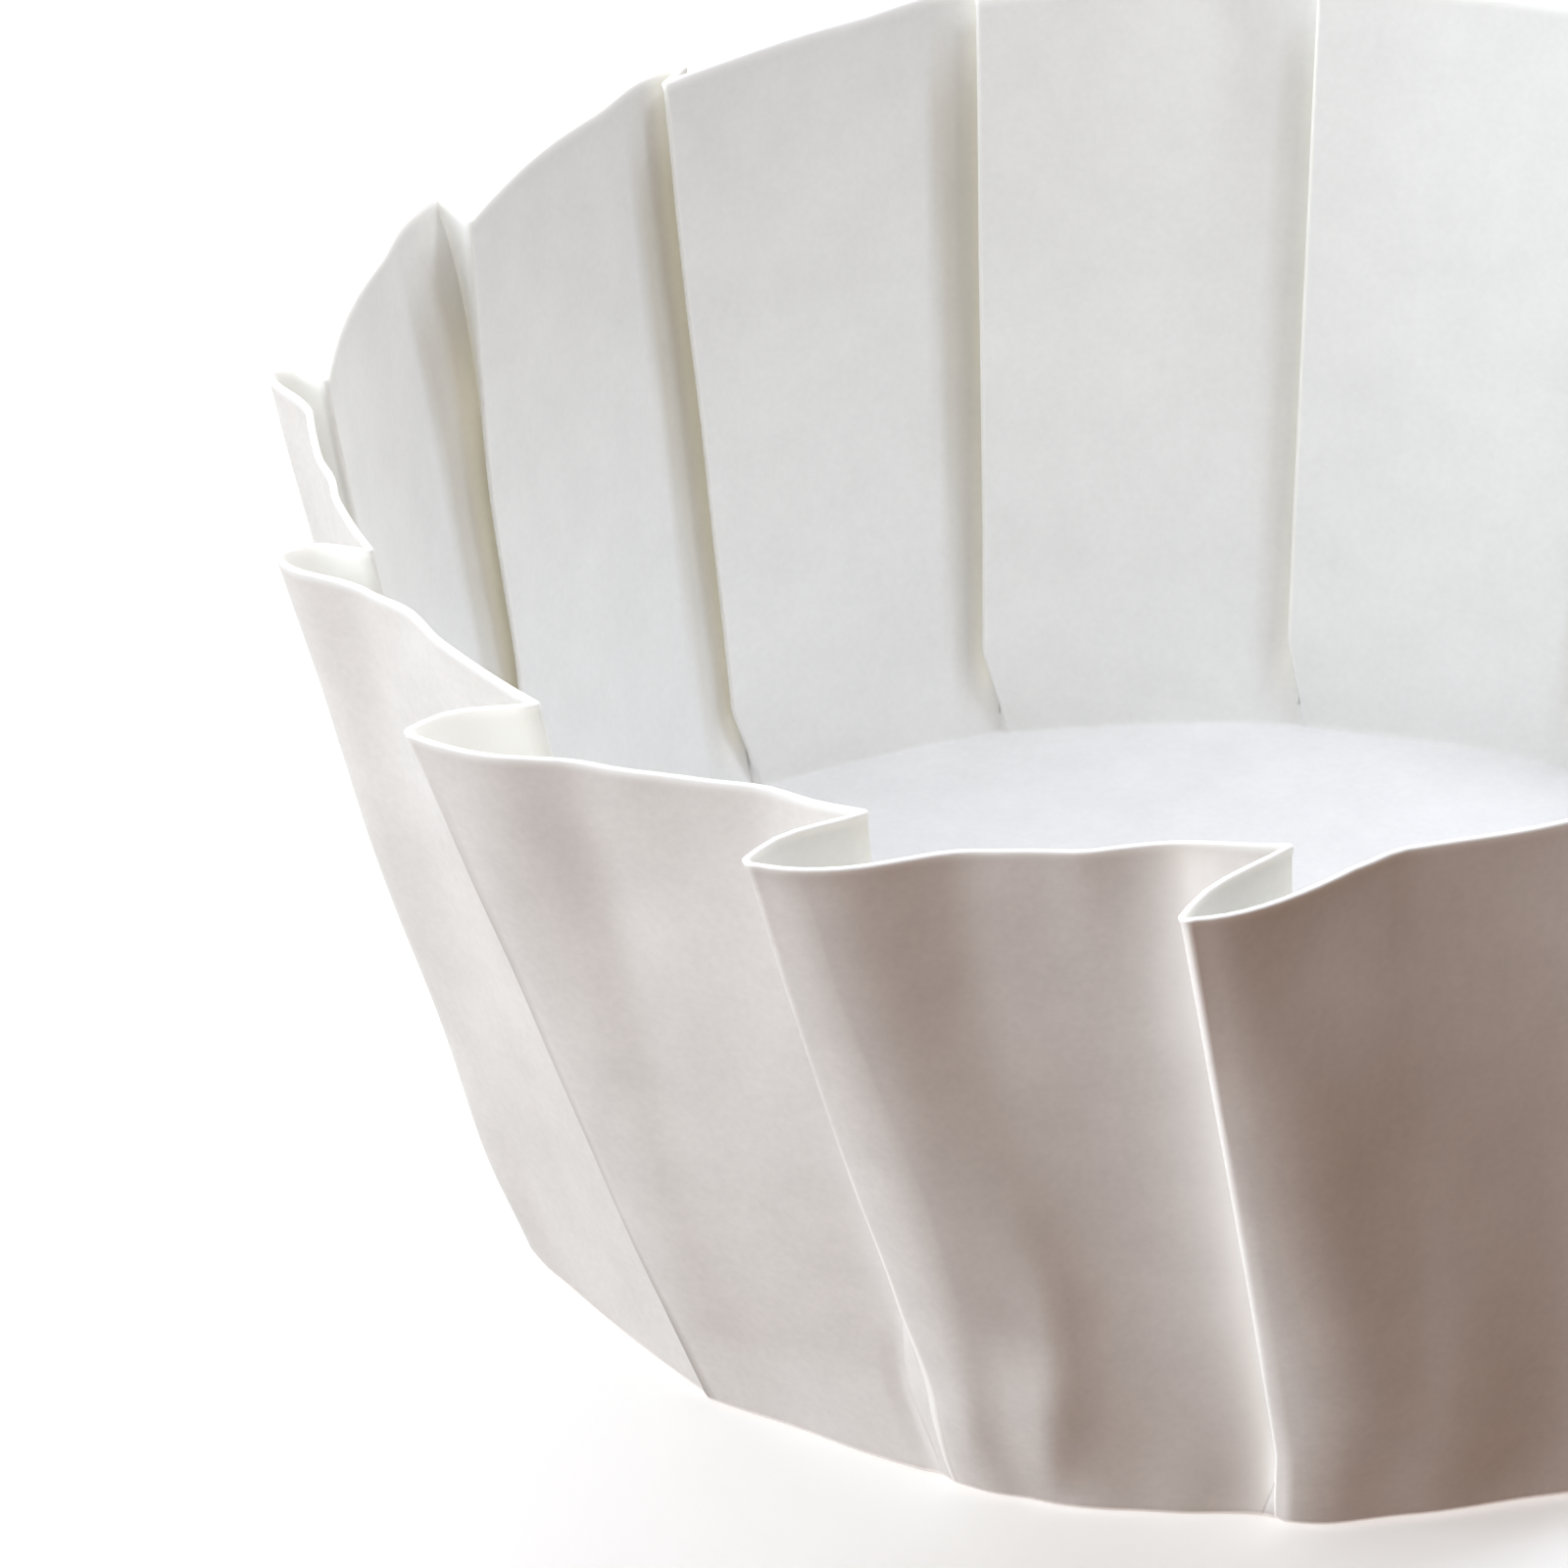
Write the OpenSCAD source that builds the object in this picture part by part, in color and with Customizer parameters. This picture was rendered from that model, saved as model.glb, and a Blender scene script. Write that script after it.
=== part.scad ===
// Round paper liner for an air fryer: one disc of paper, pressed into a deep
// cup, its wall gathered into knife pleats that all lean the same way.
// Millimetres, +Z up. The origin is the middle of the bottom's underside.

/* [Sheet] */
// Thickness of the folded sheet
sheet_t = 0.45; // [0.35:0.05:0.5]

/* [Bottom] */
// Diameter of the flat bottom, across its corners
bottom_d = 155; // [145:1:162]

/* [Wall] */
// Height of the rim above the surface that the liner stands on
wall_h = 80.5; // [55:0.5:100]
// Diameter of the rim, measured across the inner folds
rim_d = 182; // [174:1:196]

/* [Pleats] */
// Number of knife pleats round the wall
pleats = 15; // [13:1:17]
// How far the deepest pleat stands out from the wall at the rim
pleat_depth = 14; // [12:0.5:18]
// How far the widest pleat laps back along the rim
pleat_lap = 9.5; // [6:0.5:11]
// Height of the foot, where the pleats leave the bottom's plain edge
foot_h = 10; // [6:0.5:16]
// How far the wall has leaned out by the top of the foot
foot_lean = 2.5; // [1.5:0.25:4]
// Depth of a pleat at the top of the foot
foot_depth = 2.6; // [2.2:0.1:3.4]
// How much of each side the rounding of an outer fold takes
outer_fold = 1.2; // [0.8:0.1:2]
// How much of each side the rounding of an inner fold takes
inner_fold = 0.9; // [0.7:0.1:1.4]

/* [Hidden] */

// The pleats are counted clockwise from the front, seen from above. No two of
// a pressed liner's pleats are alike, so each has its own value in these lists.

// How far each fold has wandered from an even spacing, in degrees
fold_wander = [3.1, 1.9, 3, 5.6, 7.1, 7, 5.8, 6.6, 8.8, 8, 7.2, 6.4, 5.6, 4.8, 3.9];
// How far the foot of each fold is turned from its top, in degrees
foot_turn = [0.4, 2.5, 4.9, 2.8, 1.4, 0.5, 0, 1.2, -1.7, -1.4, -1.1, -0.8, -0.5, -0.2, 0.1];
// How far the wall bows out or in at each inner fold's top
rim_bow = [-4.1, -1.3, 1.1, 0.2, 0.6, -3.4, 1.8, 5.6, 6.4, 5.5, 3, 0.5, -2, -4.2, -6.4];
// How far the bottom's edge bows out or in at each corner
corner_bow = [-0.5, -0.5, 0.3, -0.3, 0, 0.5, 1.5, -0.5, -1, 0, 0, 0, 0, 0.5, 2];
// Depth of each pleat at the rim, as a share of the deepest
depth_share = [1, 0.95, 0.91, 0.63, 0.41, 0.43, 0.18, 0.18, 0.2, 0.3, 0.45, 0.6, 0.64, 0.73, 0.85];
// Lap of each pleat at the rim, as a share of the widest
lap_share = [1, 0.57, 0.36, 0.2, 0.15, 0.37, 0.5, 0.6, 0.62, 0.66, 0.53, 0.48, 0.58, 0.61, 0.7];
// A panel has a round shoulder beside its outer fold. Where that shoulder starts
// and where it ends, as parts of the panel.
shoulder_from = [0, 0, 0, 0, 0, 0.12, 0.12, 0.13, 0.12, 0.1, 0.08, 0.05, 0, 0, 0];
shoulder = [0.35, 0.3, 0.3, 0.18, 0.15, 0.34, 0.33, 0.4, 0.36, 0.35, 0.33, 0.31, 0.31, 0.35, 0.31];
// How far the end of that shoulder still stands out beyond the next inner fold
shoulder_rise = [6.4, 6.5, 5.1, 1, 1.8, 0.6, 4.7, 3.2, 0.6, 1.2, 1.4, 1.4, 1.6, 2, 2.6];
// How the panel runs in to its inner fold from there: 1 is evenly, less is sooner
run_in = [0.65, 0.75, 0.75, 0.8, 0.9, 1, 1, 1, 1, 1, 1, 0.9, 0.8, 0.7, 0.7];
// How far each panel is pressed out at half height
panel_bow = [1, 3.2, 1.8, 0.6, 0, 0, 0, 0, 0, 0, 0.3, 0.4, 0.5, 0.6, 0.8];
// How much of each pleat's depth there is only close to the rim
flare = [0, 0, 0, 0, 0, 4.5, 0, 0, 0, 0, 0, 0.5, 1, 0.8, 0.5];
// Shift of each inner and outer fold at the top of the foot, in degrees
foot_in = [1.6, -2.4, 0.4, 1, 1.4, 1.7, 1.8, 1.8, 1.6, 1.7, 1.7, 1.6, 1.6, 1.5, 1.5];
foot_out = [0.2, -0.9, -1, -0.4, -0.6, -1.2, -0.8, -0.8, -0.8, -0.7, -0.8, -0.6, -0.4, 0, 0.1];

// Step of a pleat that is pressed flat into the bottom's edge, and its width
crease_step = 0.4;
crease_w = 1.4;
// Least radius of a fold, in thicknesses of the sheet, and the most of a side
// that its arc may take
fold_room = 0.7;
fold_most = 0.85;
// How much steeper the shoulder gets towards its end, and how softly it ends
shoulder_power = 1.9;
shoulder_soft = 0.05;
// Share by which the bottom's sides bow from straight towards a true circle
side_bow = 0.4;
// Part of a panel from its outer fold that flares with it, and how close to the
// rim the flare is
flare_reach = 0.35;
flare_power = 6;
// Where along a panel it bows the most: 1 is its middle, less is nearer the outer fold
bow_lean = 0.66;
// Least cosine that a mitred corner is worked out with
mitre_least = 0.5;

pitch = 360 / pleats;
bottom_r = bottom_d / 2;
rim_r = rim_d / 2;
front = -90;

// Points across a panel, crowded towards the outer fold, and one on each flap
panel_n = 9;
panel_crowd = 1.25;
panel_end = 0.35;
panel_at = [for (i = [1:panel_n]) pow(i / (panel_n + panel_end), panel_crowd)];
flap_at = 0.5;
// Points on the arc of an outer and of an inner fold
outer_n = 4;
inner_n = 3;
// Heights of the rings of points: the foot, then the wall up to the rim
foot_rings = [0, 0.35, 1];
wall_rings = [0.2, 0.4, 0.6, 0.8, 1];

function of(list, k) = list[(k % pleats) % len(list)];
function mix(a, b, t) = a + (b - a) * t;
function ease(x) = let (t = min(max(x, 0), 1)) t * t * (3 - 2 * t);
function polar(a, r) = r * [cos(a), sin(a)];
function unit(v) = v / norm(v);
function degrees_along(length, r) = length / r * 180 / PI;
// How far the shoulder has fallen at u, and how much of it still stands there: 1 at
// the panel's outer fold, 0 once it has ended
function fallen(k, u) =
    let (start = of(shoulder_from, k), x = (u - start) / (of(shoulder, k) - start))
    pow(min(max(x, 0), 1), shoulder_power);
function shoulder_fall(k, u) =
    1 - (fallen(k, u - shoulder_soft) + 2 * fallen(k, u) + fallen(k, u + shoulder_soft)) / 4;

// Places of the folds at the rim, and of the bottom's corners
function in_a(k) = front - k * pitch + of(fold_wander, k);
function in_r(k) = rim_r + of(rim_bow, k);
function out_a(k) = in_a(k) - degrees_along(pleat_lap * of(lap_share, k), rim_r);
function out_r(k) = in_r(k) + pleat_depth * of(depth_share, k);
function corner_a(k) = in_a(k) + of(foot_turn, k);
function corner_r(k) = bottom_r + of(corner_bow, k);

// A panel runs anticlockwise from outer fold k + 1 to inner fold k, and a flap
// goes back from there to outer fold k. Each pleat is a list of points in this
// order: outer fold k + 1, the panel, inner fold k, the middle of the flap.
function pleat_points(outer, panel, inner, next_outer) =
    [outer, each panel, inner, mix(inner, next_outer, flap_at)];

// A pleat at the rim
function rim_pleat(k) =
    let (neck = of(shoulder, k + 1), neck_r = in_r(k) + of(shoulder_rise, k + 1))
    let (panel = [for (u = panel_at)
        polar(mix(out_a(k + 1), in_a(k), u),
            mix(mix(neck_r, in_r(k), pow(max(u - neck, 0) / (1 - neck), of(run_in, k + 1))),
                out_r(k + 1), shoulder_fall(k + 1, u)))])
    pleat_points(polar(out_a(k + 1), out_r(k + 1)), panel,
        polar(in_a(k), in_r(k)), polar(out_a(k), out_r(k)));

// A side of the bottom's outline between two corners, with its pleat's depth
function side_pleat(k, from_a, to_a, next_a, lean, depth) =
    let (r0 = corner_r(k + 1) + lean, r1 = corner_r(k) + lean)
    let (p0 = polar(from_a, r0 - depth / 2), p1 = polar(to_a, r1 - depth / 2))
    let (panel = [for (u = panel_at)
        let (curved = polar(mix(from_a, to_a, u), mix(r0, r1, u) - depth / 2))
        let (p = mix(mix(p0, p1, u), curved, side_bow))
        p + unit(p) * depth * (1 - u)])
    pleat_points(polar(from_a, r0 + depth / 2), panel, p1, polar(next_a, r1 + depth / 2));

// A pleat at the bottom, where it is only a low step in the crease
function bottom_pleat(k) =
    let (half = degrees_along(crease_w / 2, bottom_r))
    side_pleat(k, corner_a(k + 1) + half, corner_a(k) - half, corner_a(k) + half, 0, crease_step);

// A pleat at the top of the foot
function foot_pleat(k) =
    side_pleat(k, corner_a(k + 1) + of(foot_out, k + 1), corner_a(k) + of(foot_in, k),
        corner_a(k) + of(foot_out, k), foot_lean, foot_depth);

// How much each point of a pleat flares, and how much it bows
function pleat_flare(k) =
    [of(flare, k + 1), each [for (u = panel_at) of(flare, k + 1) * (1 - ease(u / flare_reach))],
        0, of(flare, k) * flap_at];
function pleat_bow(k) =
    [0, each [for (u = panel_at) of(panel_bow, k) * sin(180 * pow(u, bow_lean))], 0, 0];

// The whole outline at three heights, anticlockwise
turns = [for (k = [pleats - 1:-1:0]) k];
bottom_line = [for (k = turns) each bottom_pleat(k)];
foot_line = [for (k = turns) each foot_pleat(k)];
rim_line = [for (k = turns) each rim_pleat(k)];
flare_line = [for (k = turns) each pleat_flare(k)];
bow_line = [for (k = turns) each pleat_bow(k)];
per_pleat = panel_n + 3;
line_n = per_pleat * pleats;

function before(i, n) = (i + n - 1) % n;
function after(i, n) = (i + 1) % n;

// The outline's guide points at height z
function guide(z) =
    z <= foot_h
    ? mix(bottom_line, foot_line, z / foot_h)
    : let (t = (z - foot_h) / (wall_h - foot_h))
      [for (i = [0:line_n - 1])
        let (p = mix(foot_line[i], rim_line[i], t))
        p + unit(p) * (bow_line[i] * 4 * t * (1 - t) - flare_line[i] * (t - pow(t, flare_power)))];

// A fold at v, rounded by an arc between its two sides. The arc is never
// tighter than the sheet's thickness lets it be.
function fold(a, v, b, cut, n) =
    let (e = unit(a - v), f = unit(b - v))
    let (half = acos(e * f) / 2, tightest = fold_room * sheet_t / tan(half))
    let (d = min(max(cut, tightest), fold_most * norm(a - v), fold_most * norm(b - v)))
    let (r = d * tan(half), towards = -unit(e + f), across = unit(e - f))
    [for (i = [0:n - 1])
        let (s = (90 - half) * (1 - 2 * i / (n - 1)))
        v - towards * d / cos(half) + r * (towards * cos(s) + across * sin(s))];

function rounded(line) =
    [for (i = [0:line_n - 1])
        let (place = i % per_pleat, a = line[before(i, line_n)], b = line[after(i, line_n)])
        each place == 0 ? fold(a, line[i], b, outer_fold, outer_n)
            : place == panel_n + 1 ? fold(a, line[i], b, inner_fold, inner_n)
            : [line[i]]];

// The outline moved outwards by d, its corners mitred
function moved(line, d) =
    let (n = len(line))
    [for (i = [0:n - 1])
        let (e = unit(line[i] - line[before(i, n)]), f = unit(line[after(i, n)] - line[i]))
        let (m = unit([e[1] + f[1], -e[0] - f[0]]))
        line[i] + m * d / max(m * [e[1], -e[0]], mitre_least)];

function ring(line, z) = [for (p = line) [p[0], p[1], z]];

heights = [each [for (t = foot_rings) t * foot_h],
    each [for (t = wall_rings) mix(foot_h, wall_h, t)]];
lines = [for (z = heights) rounded(guide(z))];
ring_n = len(lines[0]);
rings = len(heights);

// The bottom's underside lies at z = 0 and its upper side one sheet higher
outside = [for (r = [0:rings - 1]) each ring(moved(lines[r], sheet_t / 2), heights[r])];
inside = [for (r = [0:rings - 1])
    each ring(moved(lines[r], -sheet_t / 2), r == 0 ? sheet_t : heights[r])];

module paper_liner() {
    skin = rings * ring_n;
    under = 2 * skin;
    over = under + 1;
    rim = (rings - 1) * ring_n;
    color([0.93, 0.92, 0.91])
    polyhedron(
        points = [each outside, each inside, [0, 0, 0], [0, 0, sheet_t]],
        faces = [
            for (r = [0:rings - 2], i = [0:ring_n - 1])
                let (a = r * ring_n + i, b = r * ring_n + after(i, ring_n))
                each [[a, b + ring_n, b], [a, a + ring_n, b + ring_n],
                    [skin + a, skin + b, skin + b + ring_n],
                    [skin + a, skin + b + ring_n, skin + a + ring_n]],
            for (i = [0:ring_n - 1])
                let (j = after(i, ring_n))
                each [[rim + i, skin + rim + i, skin + rim + j], [rim + i, skin + rim + j, rim + j],
                    [under, i, j], [over, skin + j, skin + i]]
        ]);
}

paper_liner();
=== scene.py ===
from math import acos, atan2, cos, degrees, exp, hypot, pi, radians, sin, tan

import bpy
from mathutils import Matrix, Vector, noise


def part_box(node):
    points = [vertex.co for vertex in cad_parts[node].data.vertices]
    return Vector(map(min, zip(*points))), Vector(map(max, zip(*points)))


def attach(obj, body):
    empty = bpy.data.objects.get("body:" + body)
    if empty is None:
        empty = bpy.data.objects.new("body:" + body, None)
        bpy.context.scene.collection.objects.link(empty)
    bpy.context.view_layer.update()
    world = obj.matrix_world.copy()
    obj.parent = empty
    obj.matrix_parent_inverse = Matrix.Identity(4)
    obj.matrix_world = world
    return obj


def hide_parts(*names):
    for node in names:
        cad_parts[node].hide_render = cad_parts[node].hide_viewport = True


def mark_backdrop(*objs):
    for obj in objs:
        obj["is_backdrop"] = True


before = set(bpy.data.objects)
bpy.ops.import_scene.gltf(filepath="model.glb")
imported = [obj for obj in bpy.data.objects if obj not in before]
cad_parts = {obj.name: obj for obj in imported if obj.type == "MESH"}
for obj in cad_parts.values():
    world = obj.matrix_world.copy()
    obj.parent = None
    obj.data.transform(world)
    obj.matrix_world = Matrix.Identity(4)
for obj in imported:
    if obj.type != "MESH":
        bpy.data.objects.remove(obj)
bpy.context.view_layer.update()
mm = 0.001


# Camera

view = {
    "lens": 202.5, "sensor": 36,
    "place": (0, -772.4, 481.5),   # mm from the middle of the liner's underside
    "tiltDown": 29.99, "turnLeft": 3.43,
}

cameraData = bpy.data.cameras.new("camera")
cameraData.lens = view["lens"]
cameraData.sensor_width = view["sensor"]
cameraData.clip_end = 20
camera = bpy.data.objects.new("camera", cameraData)
camera.location = Vector(view["place"]) * mm
camera.rotation_euler = (radians(90 - view["tiltDown"]), 0, radians(view["turnLeft"]))
bpy.context.scene.collection.objects.link(camera)
bpy.context.scene.camera = camera
print("camera placed")


# Small sums in the plane, in millimetres and degrees

def mix(a, b, t):
    return a + (b - a) * t

def mixPoint(a, b, t):
    return (mix(a[0], b[0], t), mix(a[1], b[1], t))

def ease(x):
    x = min(max(x, 0), 1)
    return x * x * (3 - 2 * x)

def rise(x, start, over):
    # 0 up to the start, then smoothly up to 1
    return ease((x - start) / over)

def bump(x, middle, reach):
    # 1 at the middle, 0 past the reach, and smooth between
    return 1 - ease(abs(x - middle) / reach)

def polar(angle, radius):
    return (radius * cos(radians(angle)), radius * sin(radians(angle)))

def carry(p, d):
    # p moved away from the axis by d
    r = hypot(*p)
    return (p[0] * (r + d) / r, p[1] * (r + d) / r)

def degreesAlong(length, radius):
    return degrees(length / radius)


# The liner: one sheet, pressed into a cup with knife pleats.
# Pleats count clockwise from the front, seen from above. No two are alike.

liner = {
    "sheet": 0.45, "bottomAcross": 155, "rimAcross": 182, "pleats": 15,
    "pleatDepth": 14, "pleatLap": 9.5,
    "footH": 10, "footLean": 2.5, "footDepth": 2.6,
    "innerFold": 0.9,      # how much an inner fold takes off its corner
    # the tightest fold, in sheets, and the most that a fold takes of the side next to it
    "foldRoom": 0.7, "foldMost": 0.85,
    "creaseStep": 0.4, "creaseWide": 1.4,   # the step in the bottom's edge at each pleat
    "sideBow": 0.4,        # how round the bottom's edge is between two steps: 0 straight, 1 a circle
    "shoulderPower": 1.9, "shoulderSoft": 0.05,   # how the shoulder curves, and how soft its ends are
    "bottomCrease": 0.7,   # radius of the crease between bottom and wall
    "hemUp": 0.8,          # up to where a painted glow on the crease stands in for light from the surface below
    "burrDown": 1.3, "burr": 0.65, "burrSharp": 1.3,   # the cut edge is a little thicker than the sheet
    "rimRound": 0.3,       # height over which the cut edge rounds off
    # each fold's way off an even spacing, and its foot's turn from its top, in degrees
    "foldWander": [3.1, 1.9, 3, 5.6, 7.1, 7, 5.8, 6.6, 8.8, 8, 7.2, 6.4, 5.6, 4.8, 3.9],
    "footTurn": [0.4, 2.5, 4.9, 2.8, 1.4, 0.5, 0, 1.2, -1.7, -1.4, -1.1, -0.8, -0.5, -0.2, 0.1],
    # how far the rim and the bottom's edge stand off their circles at each fold
    "rimBow": [-4.1, -1.3, 1.1, 0.2, 0.6, -3.4, 1.8, 5.6, 6.4, 5.5, 3, 0.5, -2, -4.2, -6.4],
    "cornerBow": [-0.5, -0.5, 0.3, -0.3, 0, 0.5, 1.5, -0.5, -1, 0, 0, 0, 0, 0.5, 2],
    # each pleat's depth and lap at the rim, as shares of the largest
    "depthShare": [1, 0.95, 0.91, 0.63, 0.41, 0.43, 0.18, 0.18, 0.2, 0.3, 0.45, 0.6, 0.64, 0.73, 0.85],
    "lapShare": [1, 0.57, 0.36, 0.2, 0.15, 0.37, 0.5, 0.6, 0.62, 0.66, 0.53, 0.48, 0.58, 0.61, 0.7],
    # the panel's round shoulder beside each outer fold: where it starts and ends along the panel,
    # how far out it ends, and how straight the panel runs in from there (1 is straight)
    "shoulderFrom": [0, 0, 0, 0, 0, 0.12, 0.12, 0.13, 0.12, 0.1, 0.08, 0.05, 0, 0, 0],
    "shoulder": [0.35, 0.3, 0.3, 0.18, 0.15, 0.34, 0.33, 0.4, 0.36, 0.35, 0.33, 0.31, 0.31, 0.35, 0.31],
    "shoulderRise": [6.4, 6.5, 5.1, 1, 1.8, 0.6, 4.7, 3.2, 0.6, 1.2, 1.4, 1.4, 1.6, 2, 2.6],
    "runIn": [0.65, 0.75, 0.75, 0.8, 0.9, 1, 1, 1, 1, 1, 1, 0.9, 0.8, 0.7, 0.7],
    # how far each panel is pressed out halfway up, and where: 1 is midway along it, less is nearer
    # to its outer fold
    "panelBow": [1.0, 3.2, 1.8, 0.6, 0, 0, 0, 0, 0, 0, 0.3, 0.4, 0.5, 0.6, 0.8], "bowLean": 0.66,
    # how much each outer fold takes off its corner up the wall and at the rim
    "outerFold": [4.4, 3, 1.6, 1.6, 1.2, 1.2, 1.2, 1.2, 1.2, 1.2, 1.2, 1.2, 1.2, 1.2, 1.6],
    "rimLoop": [4.2, 3.8, 3.4, 2.8, 2.6, 1.8, 1.4, 1.4, 1.4, 1.4, 1.8, 2.2, 2.6, 2.8, 3.2],
    "loopDown": 26,
    # whether each fold cuts its corner up the wall (0) or reaches as far out as the corner (1)
    "foldReach": [1, 0.6, 0, 0, 0, 0, 0, 0, 0, 0, 0, 0, 0, 0, 0.5],
    # how far each flap bows away from the fold's opening at the rim, from what height, and where:
    # 1 is midway along it, more is nearer to its outer fold
    "flapBow": [1.3, 1.5, 1.8, 1.8, 1.6, 0.3, 0, 0, 0, 0, 0.3, 0.5, 0.7, 0.9, 1.1],
    "flapBowFrom": 45, "flapBowLean": 1.4,
    # how far the whole wall wavers, and how long the waves are
    "waver": 0.22, "waverLong": 16, "waverUp": 12,
    # how white each outer fold is worn and painted with highlight, and up to what height
    "wornHighlightFold": [1, 0.8, 0, 0.5, 0.4, 0.2, 0.2, 0.2, 0.2, 0.2, 0.3, 0.4, 0.5, 0.6, 0.7],
    "wornHighlightUpTo": [90, 50, 90, 90, 90, 90, 90, 90, 90, 90, 90, 90, 90, 90, 90], "wornHighlightFade": 12,
    "wornHighlightAcross": [0.2, 0.7, 1, 1, 0.9, 0.5, 0.15],   # round the fold, from flap to panel
    # how far the wear and painted highlight go on along the panel, how strong they are there at the foot
    # and above, and up to what height the foot goes
    "wornHighlightPast": 0.055, "wornHighlightPastFoot": 0.8, "wornHighlightPastTop": 0.3, "wornHighlightFoot": 20,
    "foldLightWide": 9,   # how far the painted light beside a worn fold reaches over the paper that the fold lies over
    # how bright the painted highlight on each inner fold shows inside, and from what height
    "crestFold": [0.2, 0.2, 0.2, 0.2, 0.2, 0.2, 0.3, 0.3, 0.6, 0.4, 0.3, 0.3, 0.3, 0.3, 0.2],
    "crestFrom": 4, "crestOver": 10,
    # how dark the painted shadow is in the seam where the next panel goes in behind the outer fold
    "seamShadowFold": [0, 0, 1, 0.3, 0.3, 0.4, 0.4, 0.4, 0.4, 0.4, 0.4, 0.4, 0.4, 0.2, 0],
    "seamShadowAcross": [1, 1, 1, 1, 1, 0.9, 0.7], "seamShadowPast": 0.04,
    # and how dark the painted shadow is at the foot of each inner fold
    "footShadow": [0, 0.15, 0, 0, 0, 0, 0, 0, 0, 0, 0, 0, 0, 0, 0],
    "footShadowFrom": 1, "footShadowIn": 4, "footShadowUp": 19, "footShadowOut": 6,
    # how much painted light each flap glows with inside at the rim, standing in for light the thin paper
    # lets through, and from what height
    "flapLit": [0, 0, 0.5, 0.5, 0.45, 0.3, 0, 0, 0, 0, 0, 0, 0, 0, 0],
    "litFrom": 50, "litOver": 20,
    # the painted shaded strip inside, beside each outer fold: where it ends along the panel, and how dark
    # it is
    "pocketEnd": [0.2, 0.2, 0.2, 0.2, 0.2, 0.255, 0.25, 0.26, 0.22, 0.22, 0.2, 0.2, 0.2, 0.2, 0.2],
    "pocketShade": [0.5, 0.5, 0.5, 0.5, 0.5, 0.8, 0.92, 0.8, 0.4, 0.6, 0.6, 0.6, 0.6, 0.6, 0.5],
    "pocketFoot": 0.14, "pocketSoft": 0.03, "pocketWiden": 0.5,
    "pocketFade": 0.85, "pocketFadeFrom": 66, "pocketFadeOver": 12,   # how it fades towards the rim
    "pocketLow": 0.45, "pocketLowUpTo": 50,                           # and towards the foot
    "pocketFrom": 1, "pocketOver": 9,                                 # where it starts above the bottom
    # how much painted light glows in the strip beside the inner fold that covers it, low down and at the
    # rim
    "deepFold": [0, 0, 0, 0, 0.2, 0.8, 0.9, 1, 0.8, 0.6, 0.6, 0.6, 0.4, 0.2, 0],
    "deepTop": [0, 0, 0, 0, 0.1, 0.1, 0.85, 1, 0.8, 0.6, 0.6, 0.6, 0.4, 0.2, 0],
    "deepTopFrom": 58, "deepTopOver": 16,
    "deepFoot": 0.07, "deepRim": 0.10, "deepWide": 0.06,   # where along the panel that light fades
    # how much of each pleat's depth is only there close to the rim, how far along the panel that
    # reaches, and how late it comes
    "flare": [0, 0, 0, 0, 0, 4.5, 0, 0, 0, 0, 0, 0.5, 1, 0.8, 0.5],
    "flareReach": 0.35, "flarePower": 6,
    # how far each pleat's inner and outer fold have turned from its corner at the top of the foot
    "footIn": [1.6, -2.4, 0.4, 1, 1.4, 1.7, 1.8, 1.8, 1.6, 1.7, 1.7, 1.6, 1.6, 1.5, 1.5],
    "footOut": [0.2, -0.9, -1, -0.4, -0.6, -1.2, -0.8, -0.8, -0.8, -0.7, -0.8, -0.6, -0.4, 0, 0.1],
    # points along the sheet's outline, and rings up the wall, closer together low down
    "panelPoints": 28, "panelCrowd": 1.15, "panelEnd": 0.3,
    "flapPoints": 5, "outerPoints": 7, "innerPoints": 6,
    "wallRings": 46, "ringCrowd": 1.3,
    "bottomRings": (0.15, 0.4, 0.65, 0.85, 0.96),       # as shares of the bottom's outline
    "creaseTilts": (0, 30, 60),                         # of the sheet, in degrees
    "burrRings": (0.7, 0.45, 0.25),                     # how far down, as shares of the burr's height
    "edgeRings": ((0.9, 0.5), (0.65, 0.15), (0.3, 0)),  # shares of the thickness and of the rounding
}

pleats = liner["pleats"]
bottomR = liner["bottomAcross"] / 2
rimR = liner["rimAcross"] / 2
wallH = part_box("paper_liner")[1].z / mm
pitch = 360 / pleats
frontAngle = -90

def of(name, k):
    return liner[name][k % pleats]

def inAngle(k):
    return frontAngle - k * pitch + of("foldWander", k)

def inRadius(k):
    return rimR + of("rimBow", k)

def outAngle(k):
    return inAngle(k) - degreesAlong(liner["pleatLap"] * of("lapShare", k), rimR)

def outRadius(k):
    return inRadius(k) + liner["pleatDepth"] * of("depthShare", k)

def cornerAngle(k):
    return inAngle(k) + of("footTurn", k)

def cornerRadius(k):
    return bottomR + of("cornerBow", k)

def shoulderFall(k, u):
    # from 1 at the outer fold to 0 where the shoulder ends, steepest just before it ends
    start = of("shoulderFrom", k)
    total = 0
    for shift, weight in ((-1, 1), (0, 2), (1, 1)):
        x = (u + shift * liner["shoulderSoft"] - start) / (of("shoulder", k) - start)
        total += weight * min(max(x, 0), 1) ** liner["shoulderPower"]
    return 1 - total / 4

# the guide points' places along a panel and along a flap
panelAt = [(i / (liner["panelPoints"] + liner["panelEnd"])) ** liner["panelCrowd"]
           for i in range(1, liner["panelPoints"] + 1)]
flapAt = [i / (liner["flapPoints"] + 1) for i in range(1, liner["flapPoints"] + 1)]

def pleatPoints(outer, panel, inner, nextOuter):
    # outer fold k + 1, the panel, inner fold k, and the flap towards outer fold k
    return [outer] + panel + [inner] + [mixPoint(inner, nextOuter, f) for f in flapAt]

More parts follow.
